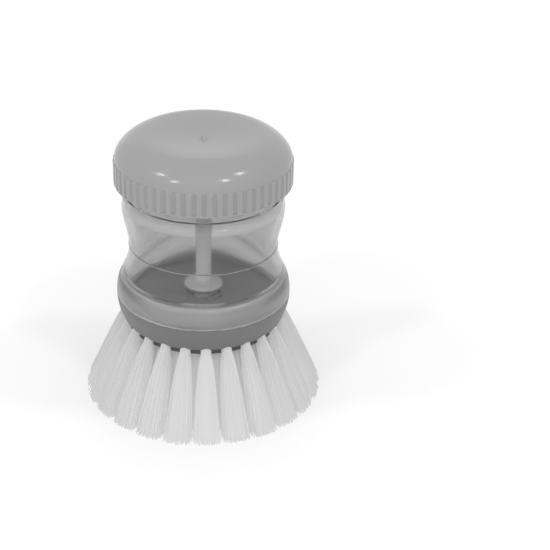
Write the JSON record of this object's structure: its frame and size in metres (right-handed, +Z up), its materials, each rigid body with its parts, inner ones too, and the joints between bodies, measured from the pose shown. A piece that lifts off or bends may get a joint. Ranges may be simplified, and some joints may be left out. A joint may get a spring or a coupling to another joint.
{
  "type": "soap-dispensing dish brush",
  "caption": "Short palm-held dish brush with a clear soap reservoir: pressing the dished screw cap pushes a sprung rod that opens a valve among flaring bristle tufts.",
  "frame": {"origin": "on the brush's axis, in the plane of the bristle tips that it stands on", "axes": "+Z up along the axis towards the cap; -Y towards the picture's camera"},
  "size_m": [0.078, 0.078, 0.0909],
  "materials": {
    "cap_plastic": "satin moulded",
    "smoky_clear": "clear smoky, polished",
    "dark_block": "satin moulded",
    "bristle_nylon": "nylon filament",
    "rod_plastic": "satin moulded",
    "pale_silicone": "soft matt",
    "dark_silicone": "soft matt",
    "spring_steel": "drawn wire",
    "staple_steel": "flat wire"
  },
  "bodies": {
    "base": {"brush_block": "dark_block", "base_seal": "pale_silicone", "reservoir_body": "smoky_clear", "return_spring": "spring_steel", "tuft_anchors": "staple_steel", "tuft_outer_01": "bristle_nylon", "tuft_outer_02": "bristle_nylon", "tuft_outer_03": "bristle_nylon", "tuft_outer_04": "bristle_nylon", "tuft_outer_05": "bristle_nylon", "tuft_outer_06": "bristle_nylon", "tuft_outer_07": "bristle_nylon", "tuft_outer_08": "bristle_nylon", "tuft_outer_09": "bristle_nylon", "tuft_outer_10": "bristle_nylon", "tuft_outer_11": "bristle_nylon", "tuft_outer_12": "bristle_nylon", "tuft_outer_13": "bristle_nylon", "tuft_outer_14": "bristle_nylon", "tuft_outer_15": "bristle_nylon", "tuft_outer_16": "bristle_nylon", "tuft_outer_17": "bristle_nylon", "tuft_outer_18": "bristle_nylon", "tuft_outer_19": "bristle_nylon", "tuft_outer_20": "bristle_nylon", "tuft_outer_21": "bristle_nylon", "tuft_outer_22": "bristle_nylon", "tuft_outer_23": "bristle_nylon", "tuft_outer_24": "bristle_nylon", "tuft_middle_01": "bristle_nylon", "tuft_middle_02": "bristle_nylon", "tuft_middle_03": "bristle_nylon", "tuft_middle_04": "bristle_nylon", "tuft_middle_05": "bristle_nylon", "tuft_middle_06": "bristle_nylon", "tuft_middle_07": "bristle_nylon", "tuft_middle_08": "bristle_nylon", "tuft_middle_09": "bristle_nylon", "tuft_middle_10": "bristle_nylon", "tuft_middle_11": "bristle_nylon", "tuft_middle_12": "bristle_nylon", "tuft_middle_13": "bristle_nylon", "tuft_middle_14": "bristle_nylon", "tuft_middle_15": "bristle_nylon", "tuft_middle_16": "bristle_nylon", "tuft_middle_17": "bristle_nylon", "tuft_middle_18": "bristle_nylon", "tuft_middle_19": "bristle_nylon", "tuft_middle_20": "bristle_nylon", "tuft_middle_21": "bristle_nylon", "tuft_middle_22": "bristle_nylon", "tuft_middle_23": "bristle_nylon", "tuft_middle_24": "bristle_nylon", "tufts_inner": "bristle_nylon"},
    "plunger": {"plunger_rod": "rod_plastic", "plunger_head": "rod_plastic", "valve_plug": "dark_silicone"},
    "gasket": {"cap_gasket": "pale_silicone"},
    "cap": {"screw_cap": "cap_plastic"},
    "panel": {"press_panel": "cap_plastic"}
  },
  "joints": [
    {"name": "cap_lift", "type": "slide", "parent": "base", "child": "gasket", "axis": [0, 0, 1], "range_m": [0, 0.005]},
    {"name": "cap_turn", "type": "hinge", "parent": "gasket", "child": "cap", "pos_m": [0, 0, 0.08], "axis": [0, 0, 1], "range_deg": [0, 450]},
    {"name": "panel_press", "type": "slide", "parent": "cap", "child": "panel", "axis": [0, 0, -1], "range_m": [0, 0.003], "stiffness_N_per_m": 200, "springref_m": -0.001},
    {"name": "plunger_press", "type": "slide", "parent": "base", "child": "plunger", "axis": [0, 0, -1], "range_m": [0, 0.003], "stiffness_N_per_m": 600, "springref_m": -0.003, "deforming": ["return_spring"]}
  ],
  "couplings": [
    {"joint": "cap_turn", "follows": "cap_lift", "rad_per_m": 1570.8},
    {"joint": "plunger_press", "follows": "panel_press", "ratio": 1}
  ]
}
